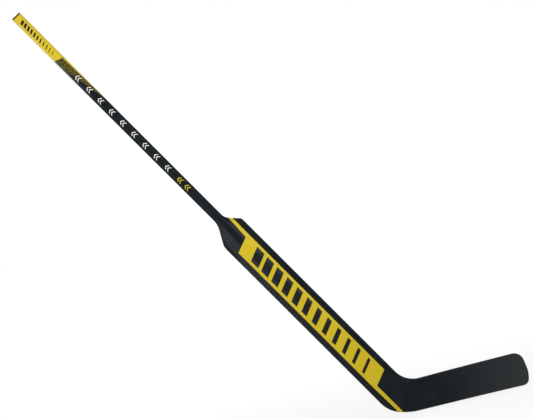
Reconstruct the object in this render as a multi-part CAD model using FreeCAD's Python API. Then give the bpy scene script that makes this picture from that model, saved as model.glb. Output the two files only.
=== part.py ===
import FreeCAD, Part

import math
import os

# A goaltender's hockey stick in its playing pose. The flat sole lies on z = 0, x runs along
# the sole from heel to toe, and the face that meets the puck looks to -y. The origin is where
# the heel's curve runs out into the flat sole. Lengths are millimetres, angles are degrees.
# "Along" is a distance from the heel corner up the shaft's axis, and "off" is a distance from
# that axis, positive on the toe's side.

# Whole stick
lie_angle = 121.2  # between the sole and the paddle, measured inside the bend

# Shaft
shaft_length = 755.0
shaft_width = 25.9  # at the neck
butt_width = 27.6  # at the butt end
shaft_depth = 19.5
shaft_chamfer = 4.6
shaft_wall = 2.0
shaft_corner_round = 1.6

# Butt end cap
cap_flange = 3.0
cap_flange_round = 1.0
cap_tongue = 30.0
cap_tongue_wall = 2.4
cap_tongue_gap = 0.5
cap_rib_count = 4
cap_rib_width = 2.4
cap_rib_gap = 0.05

# Paddle
paddle_width = 88.9
paddle_length = 673.0  # heel corner to the shoulder on the toe's side
toe_shoulder_rise = 34.5
heel_shoulder_rise = 55.7
toe_shoulder_round = 10.5
heel_shoulder_round = 40.0
toe_neck_round = 16.0
heel_neck_round = 64.0
neck_length = 30.0
paddle_edge_depth = 13.0  # thickness of the paddle's edges at the shoulders
spine_flat_low = 25.0  # width of the flat band at the heel joint
toe_facet_reach = 26.0  # axis to the foot of the facet on the toe's side, with a flat border beyond
facet_lip = 0.8  # how far outside the neck's wall that foot starts

# Heel and blade
heel_depth = 14.5
heel_low_run = 51.0  # heel corner to the corner between the sole and the heel's slope
heel_high_run = 17.4  # heel corner to the corner between that slope and the paddle's edge
heel_low_round = 164.0
heel_high_round = 80.0
crotch_round = 67.6
blade_length = 382.6  # heel corner to the end of the toe
blade_height_heel = 84.6
blade_height_toe = 90.8
blade_toe_depth = 6.6
blade_curve = 22.5  # how far the toe stands in front of the paddle
toe_bulge_height = 34.0
toe_lean_low = 6.8
toe_lean_high = 9.5
toe_low_round = 18.0
toe_high_round = 27.0
toe_bulge_round = 75.0

# Laminates, edge strips and inner joints
skin = 1.3
rail_width = 6.0
edge_bevel = 1.8
joint_margin = 20.0  # from the ends of the inner bend to the joints of the heel block
toe_strip_margin = 12.0  # from the toe's roundings to the ends of its strip
spigot_length = 70.0
spigot_lead = 3.0
bond_gap = 0.1
tenon_length = 48.0
tenon_width = 18.0
tenon_depth = 8.0
tenon_round = 3.0
rib_thickness = 3.0
rib_height_share = 0.5  # of the blade's height at the heel

# Films of the coloured panels
film = 0.2
film_gap = 0.15  # adhesive under a film
panel_heel_side = 28.0
panel_toe_side = 29.0
panel_drop = 53.0  # shoulder on the toe's side to the middle of the panel's upper slanted edge
panel_bottom = 99.0  # heel corner to the middle of the panel's lower slanted edge
panel_slant_share = 0.38  # rise of the slanted edges over their width
stripe_width = 9.5
wrap_length = 164.0
wrap_slant_share = 0.25  # rise of the wrap's lower edge over its width

# Overruns of cutting bodies, and the length below which two places are the same
overrun = 10.0
facet_overrun = 3.0
same_place = 0.001

Vec = FreeCAD.Vector

# Sizes that follow from the ones above
half_width = paddle_width / 2
half_shaft = shaft_width / 2
half_butt = butt_width / 2
half_shaft_depth = shaft_depth / 2
half_heel_depth = heel_depth / 2
half_edge_depth = paddle_edge_depth / 2
bend_turn = math.radians(180 - lie_angle)
heel_slope = math.atan2(
    heel_high_run * math.sin(bend_turn),
    heel_low_run + heel_high_run * math.cos(bend_turn),
)
heel_reach = heel_low_run + heel_low_round * math.tan(heel_slope / 2)  # heel corner to the origin
neck = paddle_length + toe_shoulder_rise
heel_shoulder = neck - heel_shoulder_rise
seat = neck + neck_length  # where the shaft stands on the neck
butt = seat + shaft_length
panel_top = paddle_length - panel_drop
toe_end = blade_length - heel_reach
deep_reach = shaft_depth + blade_curve + overrun

along_axis = Vec(-math.cos(bend_turn), 0, math.sin(bend_turn))
across_axis = Vec(math.sin(bend_turn), 0, math.cos(bend_turn))
heel_corner = Vec(-heel_reach, 0, 0)
axis_foot = heel_corner + across_axis * half_width
stick_place = FreeCAD.Placement(axis_foot, FreeCAD.Rotation(Vec(0, 1, 0), 90 - lie_angle))


def on_stick(off, along):
    """The point at an offset from the shaft's axis and a distance along it."""
    return axis_foot + across_axis * off + along_axis * along


def placed(shape):
    """A shape drawn in the shaft's own axes (off, depth, along), set into the stick's frame."""
    shape = shape.copy()
    shape.Placement = stick_place
    return shape


# The inner bend's corner, and the two joints that bound the heel block
crotch_along = (blade_height_heel - on_stick(half_width, 0).z) / along_axis.z
crotch = on_stick(half_width, crotch_along)
toe_top = Vec(toe_end - toe_lean_high, 0, blade_height_toe)
top_slope = math.atan2(toe_top.z - crotch.z, toe_top.x - crotch.x)
crotch_reach = crotch_round * math.tan((bend_turn - top_slope) / 2)
paddle_joint = crotch_along + crotch_reach + joint_margin
blade_joint = crotch.x + crotch_reach + joint_margin

# Where the shaft's chamfers start to open, and where each facet has its full width
heel_shoulder_turn = math.atan2(half_width - half_shaft, heel_shoulder_rise)
toe_shoulder_turn = math.atan2(half_width - half_shaft, toe_shoulder_rise)
facet_top = neck + heel_neck_round * math.tan(heel_shoulder_turn / 2)
heel_facet_low = heel_shoulder - heel_shoulder_round * math.tan(heel_shoulder_turn / 2)
toe_facet_low = paddle_length - toe_shoulder_round * math.tan(toe_shoulder_turn / 2)


def rounded_face(corners):
    """A flat face in the plane y = 0 from corners given as (point, rounding radius)."""
    arcs = []
    starts = []
    ends = []
    for index, (point, radius) in enumerate(corners):
        before = corners[index - 1][0]
        after = corners[(index + 1) % len(corners)][0]
        to_before = (before - point).normalize()
        to_after = (after - point).normalize()
        half_angle = to_before.getAngle(to_after) / 2
        reach = radius / math.tan(half_angle)
        starts.append(point + to_before * reach)
        ends.append(point + to_after * reach)
        if radius > 0:
            inward = (to_before + to_after).normalize()
            middle = point + inward * (radius / math.sin(half_angle) - radius)
            arcs.append(Part.Arc(starts[-1], middle, ends[-1]).toShape())
    following = starts[1:] + starts[:1]
    lines = [Part.makeLine(end, start) for end, start in zip(ends, following)]
    return Part.Face(Part.Wire(Part.__sortEdges__(arcs + lines)))


def prism(face):
    """A flat face in the plane y = 0 drawn out through the whole depth of the stick."""
    face = face.copy()
    face.translate(Vec(0, -deep_reach, 0))
    return face.extrude(Vec(0, 2 * deep_reach, 0))


def stick_box(off_from, off_to, along_from, along_to):
    """A box through the whole depth, square to the shaft's axis."""
    offs = (off_from, off_to, off_to, off_from)
    alongs = (along_from, along_from, along_to, along_to)
    return prism(rounded_face([(on_stick(*place), 0) for place in zip(offs, alongs)]))


def blade_box(x_from, x_to, z_from, z_to):
    """A box through the whole depth, square to the sole."""
    places = ((x_from, z_from), (x_to, z_from), (x_to, z_to), (x_from, z_to))
    return prism(rounded_face([(Vec(x, 0, z), 0) for x, z in places]))


def outline_face():
    """The front outline of neck, paddle and blade, from the shaft's seat round the toe."""
    return rounded_face([
        (on_stick(-half_shaft, seat), 0),
        (on_stick(-half_shaft, neck), heel_neck_round),
        (on_stick(-half_width, heel_shoulder), heel_shoulder_round),
        (heel_corner + along_axis * heel_high_run, heel_high_round),
        (heel_corner + Vec(heel_low_run, 0, 0), heel_low_round),
        (Vec(toe_end - toe_lean_low, 0, 0), toe_low_round),
        (Vec(toe_end, 0, toe_bulge_height), toe_bulge_round),
        (toe_top, toe_high_round),
        (crotch, crotch_round),
        (on_stick(half_width, paddle_length), toe_shoulder_round),
        (on_stick(half_shaft, neck), toe_neck_round),
        (on_stick(half_shaft, seat), 0),
    ])


def fade(along, high, low):
    """A size that runs evenly from the opening of the chamfers down to the heel joint."""
    share = (facet_top - min(along, facet_top)) / (facet_top - paddle_joint)
    return high + (low - high) * share


def half_section(side, along, ends, inset):
    """Half of the paddle's section: a flat band at the axis, then each facet to its far end.

    Every facet moves inwards by the inset along its own normal, and the last runs past the edge.
    """
    flat = fade(along, half_shaft - shaft_chamfer, spine_flat_low / 2)
    centre = fade(along, half_shaft_depth, half_heel_depth)
    points = [Vec(off, -depth, 0) for off, depth in [(0, centre), (flat, centre)] + ends]
    runs = [(after - before).normalize() for before, after in zip(points, points[1:])]
    points[-1] = points[-1] + runs[-1] * facet_overrun
    inward = [Vec(-run.y, run.x, 0) for run in runs]
    front = []
    for point, before, after in zip(points, inward[:1] + inward, inward + inward[-1:]):
        front.append(point + (before + after) * (inset / (1 + before.dot(after))))
    back = [Vec(point.x, -point.y, 0) for point in reversed(front)]
    places = [Vec(side * point.x, point.y, along) for point in front + back]
    return Part.makePolygon(places + places[:1])


def paddle_half(side, inset):
    """Half of the paddle's depth in three lengths: neck, opening facet, and fading facet.

    On the toe's side the facet ends short of the edge, in a flat border.
    """
    neck_edge = half_shaft_depth - shaft_chamfer
    if side > 0:
        facet_low = toe_facet_low
        neck_ends = [(half_shaft + facet_lip, neck_edge - facet_lip)]
        neck_ends.append((half_width, neck_edge - facet_lip))
        low_ends = [(toe_facet_reach, half_edge_depth), (half_width, half_edge_depth)]
        joint_ends = [(toe_facet_reach, half_heel_depth), (half_width, half_heel_depth)]
    else:
        facet_low = heel_facet_low
        neck_ends = [(half_shaft, neck_edge)]
        low_ends = [(half_width, half_edge_depth)]
        joint_ends = [(half_width, half_heel_depth)]
    sections = [
        half_section(side, seat + overrun, neck_ends, inset),
        half_section(side, facet_top, neck_ends, inset),
        half_section(side, facet_low, low_ends, inset),
        half_section(side, paddle_joint, joint_ends, inset),
    ]
    return [placed(Part.makeLoft(list(pair), True, True)) for pair in zip(sections, sections[1:])]


def blade_side(side, inset, drop):
    """One face of the blade in plan: straight through the heel, then an arc to the front."""
    run = toe_end - blade_joint
    level = side * (half_heel_depth - inset)
    radius = (run**2 + drop**2) / (2 * drop) - side * inset
    far = run + overrun

    def arc_point(distance):
        return Vec(blade_joint + distance, level - radius + math.sqrt(radius**2 - distance**2), 0)

    start = Vec(on_stick(-half_width, paddle_joint).x - overrun, level, 0)
    line = Part.makeLine(start, arc_point(0))
    arc = Part.Arc(arc_point(0), arc_point(far / 2), arc_point(far)).toShape()
    return start, arc_point(far), [line, arc]


def blade_depth(inset):
    """The depth of heel and blade: an even slab that thins and curves forward to the toe."""
    half_toe_depth = blade_toe_depth / 2
    front_drop = blade_curve + half_toe_depth - half_heel_depth
    back_drop = blade_curve - half_toe_depth + half_heel_depth
    front_start, front_end, front = blade_side(-1, inset, front_drop)
    back_start, back_end, back = blade_side(1, inset, back_drop)
    ends = [Part.makeLine(front_start, back_start), Part.makeLine(front_end, back_end)]
    plan = Part.Face(Part.Wire(Part.__sortEdges__(front + back + ends)))
    plan.translate(Vec(0, 0, -overrun))
    height = on_stick(half_width, paddle_joint).z + 2 * overrun
    body = plan.extrude(Vec(0, 0, height + overrun))
    return body.cut(stick_box(-butt, butt, paddle_joint, butt))


def depth_body(inset):
    """All the space between the front and back surfaces, moved inwards by the inset."""
    halves = paddle_half(-1, inset) + paddle_half(1, inset)
    return blade_depth(inset).fuse(halves).removeSplitter()


def rim_bevelled(body, outline):
    """A body of the outline with the edges round its rim bevelled, front and back."""
    rim = []
    for edge in body.Edges:
        middle = edge.valueAt((edge.FirstParameter + edge.LastParameter) / 2)
        level = Part.Vertex(middle.x, 0, middle.z)
        straight_in = edge.BoundBox.XLength < same_place and edge.BoundBox.ZLength < same_place
        on_wall = outline.OuterWire.distToShape(level)[0] < same_place
        along = (middle - axis_foot).dot(along_axis)
        off = (middle - axis_foot).dot(across_axis)
        at_neck = along > paddle_length and abs(off) < half_shaft + rail_width
        joints = (paddle_joint, heel_facet_low, toe_facet_low, facet_top, seat)
        at_joint = any(abs(along - joint) < same_place for joint in joints)
        if on_wall and not straight_in and not at_joint and not at_neck:
            rim.append(edge)
    return body.makeChamfer(edge_bevel, rim)


def paddle_strips(side, outline, inner_prism):
    """The bound edge of the paddle on one side: round the shoulder, then down to the heel joint."""
    spine_width = stick_box(-half_shaft, half_shaft, paddle_joint, seat)
    strips = []
    for length in paddle_half(side, 0)[1:]:
        body = rim_bevelled(prism(outline).common(length).Solids[0], outline)
        strips.append(body.cut(inner_prism).cut(spine_width))
    return strips


def shaft_half(along):
    """Half of the shaft's width, which grows evenly from the neck to the butt end."""
    return half_shaft + (half_butt - half_shaft) * (along - seat) / shaft_length


def shaft_section(inset, along, half):
    """The shaft's chamfered rectangle, moved inwards by the inset, in the shaft's own axes."""
    wide = half - inset
    deep = half_shaft_depth - inset
    cut = shaft_chamfer - inset * (2 - math.sqrt(2))
    quarter = [(wide, deep - cut), (wide - cut, deep)]
    points = [Vec(x, y, along) for x, y in quarter]
    points += [Vec(-x, y, along) for x, y in reversed(quarter)]
    points += [Vec(-x, -y, along) for x, y in quarter]
    points += [Vec(x, -y, along) for x, y in reversed(quarter)]
    return Part.makePolygon(points + points[:1])


def straight_bar(inset, along_from, along_to, half):
    """A solid bar of the shaft's section with one width, in the shaft's own axes."""
    section = Part.Face(shaft_section(inset, along_from, half))
    return section.extrude(Vec(0, 0, along_to - along_from))


def shaft_bar(inset, along_from, along_to):
    """A solid bar of the shaft's section and width, in the shaft's own axes."""
    deep = half_shaft_depth - inset
    low = shaft_half(along_from) - inset
    high = shaft_half(along_to) - inset
    ends = ((-low, along_from), (low, along_from), (high, along_to), (-high, along_to))
    corners = [Vec(x, -deep, along) for x, along in ends]
    bar = Part.Face(Part.makePolygon(corners + corners[:1])).extrude(Vec(0, 2 * deep, 0))
    return bar.makeChamfer(shaft_chamfer - inset * (2 - math.sqrt(2)), edges_along(bar))


def edges_along(bar):
    """The edges of a bar that run along the shaft's axis, in the shaft's own axes."""
    return [edge for edge in bar.Edges if edge.BoundBox.ZLength > bar.BoundBox.ZLength - same_place]


def edges_at(bar, along):
    """The edges of a bar at one distance along the shaft's axis, in the shaft's own axes."""
    return [
        edge
        for edge in bar.Edges
        if abs(edge.BoundBox.ZMin - along) < same_place and edge.BoundBox.ZLength < same_place
    ]


def butt_end_cap():
    """A rounded flange of the shaft's section over a hollow tongue with ribs that grip the tube."""
    top = butt + cap_flange
    flange = straight_bar(0, butt, top, half_butt)
    flange = flange.makeFillet(shaft_corner_round, edges_along(flange))
    flange = flange.makeFillet(cap_flange_round, edges_at(flange, top))
    tongue_inset = shaft_wall + cap_tongue_gap
    tip = butt - cap_tongue
    cap = flange.fuse(shaft_bar(tongue_inset, tip, butt))
    pitch = cap_tongue / (cap_rib_count + 1)
    for index in range(cap_rib_count):
        middle = tip + pitch * (index + 1)
        crest = shaft_section(shaft_wall + cap_rib_gap, middle, shaft_half(middle))
        for foot in (middle - cap_rib_width / 2, middle + cap_rib_width / 2):
            end = shaft_section(tongue_inset, foot, shaft_half(foot))
            cap = cap.fuse(Part.makeLoft([end, crest], True, True))
    hollow = shaft_bar(tongue_inset + cap_tongue_wall, tip - overrun, butt)
    return placed(cap.removeSplitter().cut(hollow))


def shaft_tube():
    """A tube of the chamfered section with rounded corners, a little wider at its top."""
    tube = shaft_bar(0, seat, butt)
    tube = tube.makeFillet(shaft_corner_round, edges_along(tube))
    return placed(tube.cut(shaft_bar(shaft_wall, seat - overrun, butt + overrun)))


def shaft_end_wrap():
    """A film round the top of the shaft, cut off aslant at its lower end."""
    low = butt - wrap_length
    layers = []
    for offset in (film_gap + film, film_gap):
        bar = shaft_bar(-offset, low - shaft_width, butt)
        layers.append(bar.makeFillet(shaft_corner_round + offset, edges_along(bar)))
    sleeve, core = layers
    rise = shaft_width * wrap_slant_share
    cut_offs = (-shaft_width, shaft_width, shaft_width, -shaft_width)
    cut_alongs = (low + rise, low - rise, low - 2 * shaft_width, low - 2 * shaft_width)
    cut = prism(rounded_face([(on_stick(*place), 0) for place in zip(cut_offs, cut_alongs)]))
    return placed(sleeve.cut(core)).cut(cut)


def tenon(gap):
    """The bar at the spine's lower end, or with a gap the mortise that takes it."""
    wide = tenon_width + 2 * gap
    deep = tenon_depth + 2 * gap
    tall = tenon_length + gap
    bar = Part.makeBox(wide, deep, tall, Vec(-wide / 2, -deep / 2, paddle_joint - tall))
    return placed(bar.makeFillet(tenon_round, edges_along(bar)))


def paddle_spine(inner_depth):
    """The shaft's continuation through the paddle, with its straight spigot and its tenon."""
    bar = stick_box(-half_shaft, half_shaft, paddle_joint, seat).common(inner_depth)
    inset = shaft_wall + bond_gap
    top = seat + spigot_length
    spigot = straight_bar(inset, seat, top - spigot_lead, half_shaft)
    full = shaft_section(inset, top - spigot_lead, half_shaft)
    tip = shaft_section(inset + spigot_lead / 2, top, half_shaft)
    lead = Part.makeLoft([full, tip], True, True)
    return bar.fuse([placed(spigot), placed(lead), tenon(0)]).removeSplitter()


def paddle_cores(inner_prism, inner_depth):
    """The foam on the heel's side and on the toe's side of the spine."""
    heel_side = stick_box(-paddle_width, -half_shaft, paddle_joint, seat)
    toe_side = stick_box(half_shaft, paddle_width, paddle_joint, seat)
    filled = inner_prism.common(inner_depth)
    return filled.common(heel_side), filled.common(toe_side)


def heel_and_blade_cores(inner_prism, inner_depth):
    """The heel block with its mortise, then the blade's rib and the foam above and below it."""
    filled = inner_prism.common(inner_depth).cut(stick_box(-butt, butt, paddle_joint, butt))
    tall = blade_height_toe + overrun
    blade = blade_box(blade_joint, toe_end + overrun, -overrun, tall)
    rib_low = blade_height_heel * rib_height_share - rib_thickness / 2
    rib_high = rib_low + rib_thickness
    lower = blade_box(blade_joint, toe_end + overrun, -overrun, rib_low)
    middle = blade_box(blade_joint, toe_end + overrun, rib_low, rib_high)
    upper = blade_box(blade_joint, toe_end + overrun, rib_high, tall)
    block = filled.cut(blade).cut(tenon(bond_gap))
    return block, filled.common(middle), filled.common(upper), filled.common(lower)


def laminates(inner_prism, outer_depth, inner_depth):
    """The sheets between the edge strips, front and back, with the spine's width at the neck."""
    spine_width = stick_box(-half_shaft, half_shaft, paddle_joint, seat)
    area = inner_prism.fuse(spine_width).removeSplitter()
    sheets = area.common(outer_depth).cut(inner_depth)
    front, back = sorted(sheets.Solids, key=lambda sheet: sheet.CenterOfMass.y)
    return front, back


def edge_strips(outline, inner_prism):
    """The bound edge round paddle and blade, cut into the strips that it is laid in."""
    heel_shoulder_strip, heel_rail = paddle_strips(-1, outline, inner_prism)
    toe_shoulder_strip, toe_rail = paddle_strips(1, outline, inner_prism)
    lower = rim_bevelled(prism(outline).common(blade_depth(0)).Solids[0], outline)
    ring = lower.cut(inner_prism)
    tall = blade_height_toe + overrun
    toe_start = toe_end - toe_high_round - toe_strip_margin
    half_height = blade_height_heel / 2
    toe = ring.common(blade_box(toe_start, toe_end + overrun, -overrun, tall))
    sole = ring.common(blade_box(0, toe_start, -overrun, half_height))
    top_start = blade_joint - joint_margin / 2
    top = ring.common(blade_box(top_start, toe_start, half_height, tall))
    bends = ring.cut([toe, sole, top]).Solids
    heel, bend = sorted(bends, key=lambda strip: (strip.CenterOfMass - axis_foot).dot(across_axis))
    return {
        "heel_side_shoulder": heel_shoulder_strip,
        "toe_side_shoulder": toe_shoulder_strip,
        "heel_side_rail": heel_rail,
        "toe_side_rail": toe_rail,
        "heel_strip": heel,
        "crotch_strip": bend,
        "sole_strip": sole,
        "top_strip": top,
        "toe_strip": toe,
    }


def panel_face():
    """The film's outline: a slanted panel, with a stripe from each end out to an edge."""
    heel_off = -panel_heel_side
    toe_off = panel_toe_side
    rise = (panel_heel_side + panel_toe_side) * panel_slant_share / 2
    stripe_off = toe_off - stripe_width
    low_stripe_off = heel_off + stripe_width
    body = [
        (heel_off, panel_bottom - rise),
        (toe_off, panel_bottom + rise),
        (toe_off, panel_top + rise),
        (heel_off, panel_top - rise),
    ]
    high_stripe = [
        (stripe_off, panel_top),
        (toe_off, panel_top),
        (toe_off, seat),
        (stripe_off, seat),
    ]
    low_stripe = [
        (heel_off, -half_width),
        (low_stripe_off, -half_width),
        (low_stripe_off, panel_bottom),
        (heel_off, panel_bottom),
    ]
    faces = []
    for shape in (body, high_stripe, low_stripe):
        faces.append(rounded_face([(on_stick(*place), 0) for place in shape]))
    return faces[0].fuse(faces[1:]).removeSplitter()


def panels(outline):
    """The films on the front and on the back, inside the bevelled rim."""
    area = prism(panel_face()).common(prism(outline.makeOffset2D(-edge_bevel)))
    films = area.common(depth_body(-film_gap - film)).cut(depth_body(-film_gap))
    front, back = sorted(films.Solids, key=lambda sheet: sheet.CenterOfMass.y)
    return front, back


def build():
    """Every piece of the stick by its name."""
    outline = outline_face()
    inner_prism = prism(outline.makeOffset2D(-rail_width))
    outer_depth = depth_body(0)
    inner_depth = depth_body(skin)
    pieces = {
        "butt_end_cap": butt_end_cap(),
        "shaft_tube": shaft_tube(),
        "shaft_end_wrap": shaft_end_wrap(),
        "paddle_spine": paddle_spine(inner_depth),
    }
    pieces["heel_side_core"], pieces["toe_side_core"] = paddle_cores(inner_prism, inner_depth)
    block, rib, upper, lower = heel_and_blade_cores(inner_prism, inner_depth)
    pieces["heel_block"] = block
    pieces["blade_rib"] = rib
    pieces["blade_upper_core"] = upper
    pieces["blade_lower_core"] = lower
    pieces["front_laminate"], pieces["back_laminate"] = laminates(inner_prism, outer_depth, inner_depth)
    pieces.update(edge_strips(outline, inner_prism))
    pieces["front_panel"], pieces["back_panel"] = panels(outline)
    return pieces


os.makedirs("parts", exist_ok=True)
for name, piece in build().items():
    print(name, piece.isValid(), len(piece.Solids), len(piece.Faces), round(piece.Volume, 1))
    piece.exportStep(f"parts/{name}.step")
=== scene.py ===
import math

import bpy
import numpy as np
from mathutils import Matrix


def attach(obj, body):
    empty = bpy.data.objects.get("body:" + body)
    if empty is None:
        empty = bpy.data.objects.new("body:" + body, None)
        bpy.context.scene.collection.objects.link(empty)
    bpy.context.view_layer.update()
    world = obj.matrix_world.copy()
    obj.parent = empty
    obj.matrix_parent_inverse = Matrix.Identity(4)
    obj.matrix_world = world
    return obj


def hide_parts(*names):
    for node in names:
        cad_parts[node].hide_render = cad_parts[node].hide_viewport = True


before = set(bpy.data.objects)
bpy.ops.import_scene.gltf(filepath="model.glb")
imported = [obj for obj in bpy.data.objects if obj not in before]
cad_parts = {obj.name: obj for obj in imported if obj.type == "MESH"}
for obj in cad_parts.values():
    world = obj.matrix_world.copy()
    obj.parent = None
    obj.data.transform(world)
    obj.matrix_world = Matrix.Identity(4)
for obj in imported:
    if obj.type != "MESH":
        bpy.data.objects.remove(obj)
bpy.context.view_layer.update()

# Sizes in millimetres, as in the solids. "Along" runs from the heel corner up the shaft's axis, and
# "off" is the distance from that axis, positive on the toe's side. Meshes are written in metres.
MM = 0.001

# Shaft, and the bend between it and the sole
BEND = math.radians(180 - 121.2)
SHAFT_HALF = 12.95
BUTT_HALF = 13.8
SHAFT_HALF_DEPTH = 9.75
SHAFT_CHAMFER = 4.6
SHAFT_CORNER = 1.6
SHAFT_WALL = 2.0
SHAFT_LENGTH = 755.0

# Paddle, its two shoulders and the neck
PADDLE_HALF = 44.45
PADDLE_LENGTH = 673.0
TOE_RISE = 34.5
HEEL_RISE = 55.7
NECK_LENGTH = 30.0
TOE_SHOULDER_ROUND = 10.5
HEEL_SHOULDER_ROUND = 40.0
TOE_NECK_ROUND = 30.0
HEEL_NECK_ROUND = 64.0
EDGE_HALF_DEPTH = 6.5
BAND_HALF_LOW = 12.5
FOOT_OFF = 26.0
FOOT_LIP = 0.8
HEEL_FOOT_LOW = 585.0
HEEL_FOOT_RUNS = (0, 15, 65, 105)
HEEL_FOOT_OFFS = (46.45, 37.5, 35.5, 21.0)

# Heel, blade and toe
HEEL_HALF_DEPTH = 7.25
HEEL_LOW_RUN = 51.0
HEEL_HIGH_RUN = 17.4
HEEL_LOW_ROUND = 164.0
HEEL_HIGH_ROUND = 80.0
CROTCH_ROUND = 67.6
BLADE_LENGTH = 382.6
BLADE_HIGH_HEEL = 84.6
BLADE_HIGH_TOE = 90.8
TOE_HALF_DEPTH = 3.3
BLADE_CURVE = 22.5
TOE_BULGE_HIGH = 34.0
TOE_LEAN_LOW = 6.8
TOE_LEAN_HIGH = 9.5
TOE_LOW_ROUND = 18.0
TOE_BULGE_ROUND = 75.0
TOE_HIGH_ROUND = 27.0
JOINT_MARGIN = 20.0

# Rounded edges, softened creases, and the coat of lacquer over the solids
RIM_ROUND = 2.4
HEEL_RIM_ROUND = 1.4
TIGHT_RIM_ROUND = 0.9
RIM_CHANGE_BELOW = 15.0
RIM_CHANGE_ABOVE = 10.0
CREASE_SOFT_SHAFT = 1.8
CREASE_SOFT_PADDLE = 2.2
CREASE_CHANGE_BELOW = 30.0
CENTRE_SOFT = 0.06
COAT = 0.25

# Yellow panels with their stripes, and the film at the top of the shaft
PANEL_HEEL = 28.0
PANEL_TOE = 27.5
PANEL_TOP = 623.0
PANEL_BOTTOM = 98.4
PANEL_SLANT = 0.39
PANEL_TOP_SLANT = 0.37
STRIPE_WIDTH = 10.4
STRIPE_LOW_WIDTH = 9.2
STRIPE_TOP_WIDTH = 7.6
STRIPE_TOP_LEAN = 1.1
STRIPE_FLARE = 3.5
WRAP_LENGTH = 164.0
WRAP_SLANT = 0.39
WRAP_GAP = 1.3
FILM_LIFTS = (0.16, 0.04)
INK_LIFTS = (0.24, 0.17)

# What follows from those sizes
ALONG = np.array([-math.cos(BEND), math.sin(BEND)])
ACROSS = np.array([math.sin(BEND), math.cos(BEND)])
HEEL_SLOPE = math.atan2(HEEL_HIGH_RUN * math.sin(BEND), HEEL_LOW_RUN + HEEL_HIGH_RUN * math.cos(BEND))
HEEL_REACH = HEEL_LOW_RUN + HEEL_LOW_ROUND * math.tan(HEEL_SLOPE / 2)
HEEL = np.array([-HEEL_REACH, 0.0])
FOOT = HEEL + ACROSS * PADDLE_HALF
NECK = PADDLE_LENGTH + TOE_RISE
HEEL_SHOULDER = NECK - HEEL_RISE
SEAT = NECK + NECK_LENGTH
BUTT = SEAT + SHAFT_LENGTH
TOE_END = BLADE_LENGTH - HEEL_REACH


def on_stick(off, along):
    """x and z of a place: the axis' foot, plus off times the way across and along times the axis."""
    off = np.asarray(off, float)[..., None]
    along = np.asarray(along, float)[..., None]
    return FOOT + ACROSS * off + ALONG * along


def stick_place(spots):
    """Off and along of x and z places: their dot products with the way across and the axis."""
    return (spots - FOOT) @ ACROSS, (spots - FOOT) @ ALONG


CROTCH_ALONG = (BLADE_HIGH_HEEL - on_stick(PADDLE_HALF, 0)[1]) / ALONG[1]
CROTCH = on_stick(PADDLE_HALF, CROTCH_ALONG)
TOE_TOP = np.array([TOE_END - TOE_LEAN_HIGH, BLADE_HIGH_TOE])
TOP_SLOPE = math.atan2(TOE_TOP[1] - CROTCH[1], TOE_TOP[0] - CROTCH[0])
CROTCH_REACH = CROTCH_ROUND * math.tan((BEND - TOP_SLOPE) / 2)
PADDLE_JOINT = CROTCH_ALONG + CROTCH_REACH + JOINT_MARGIN
BLADE_JOINT = CROTCH[0] + CROTCH_REACH + JOINT_MARGIN
HEEL_TURN = math.atan2(PADDLE_HALF - SHAFT_HALF, HEEL_RISE)
TOE_TURN = math.atan2(PADDLE_HALF - SHAFT_HALF, TOE_RISE)
FACET_TOP = NECK + HEEL_NECK_ROUND * math.tan(HEEL_TURN / 2)
HEEL_FACET_LOW = HEEL_SHOULDER - HEEL_SHOULDER_ROUND * math.tan(HEEL_TURN / 2)
TOE_FACET_LOW = PADDLE_LENGTH - TOE_SHOULDER_ROUND * math.tan(TOE_TURN / 2)


def share(value, start, end):
    """How far a value is on its way from start to end, held between 0 and 1."""
    return np.clip((value - start) / (end - start), 0, 1)


def lower_of(first, second, blend):
    """The smaller of two heights, with the corner where they cross rounded over the blend's height."""
    near = np.maximum(blend - np.abs(first - second), 0) / np.maximum(blend, 1e-9)
    return np.minimum(first, second) - near**2 * blend / 4


def widening(along):
    """How much half the shaft's width has grown: evenly from nothing at its seat to the butt."""
    return np.interp(along, [SEAT, BUTT], [0, BUTT_HALF - SHAFT_HALF])


def band_half(along):
    """Half the flat middle band's width: evenly from the heel joint to the widening shaft's flat."""
    low = np.interp(along, [PADDLE_JOINT, FACET_TOP], [BAND_HALF_LOW, SHAFT_HALF - SHAFT_CHAMFER])
    return low + widening(along)


def foot_place(along):
    """Off and depth of the toe-side facet's foot: out of the neck's chamfer, then at the edge's depth."""
    stops = [PADDLE_JOINT, TOE_FACET_LOW, FACET_TOP]
    neck_depth = SHAFT_HALF_DEPTH - SHAFT_CHAMFER - FOOT_LIP
    off = np.interp(along, stops, [FOOT_OFF, FOOT_OFF, SHAFT_HALF + FOOT_LIP]) + widening(along)
    return off, np.interp(along, stops, [HEEL_HALF_DEPTH, EDGE_HALF_DEPTH, neck_depth])


def heel_foot_off(along):
    """Off of the heel-side facet's foot, as a positive number: on the face round the shoulder only.

    It runs evenly between its stops, from past the edge below the shoulder to the shaft's edge.
    """
    stops = [HEEL_FOOT_LOW + run for run in HEEL_FOOT_RUNS]
    return np.interp(along, [*stops, FACET_TOP], [*HEEL_FOOT_OFFS, SHAFT_HALF])


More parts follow.
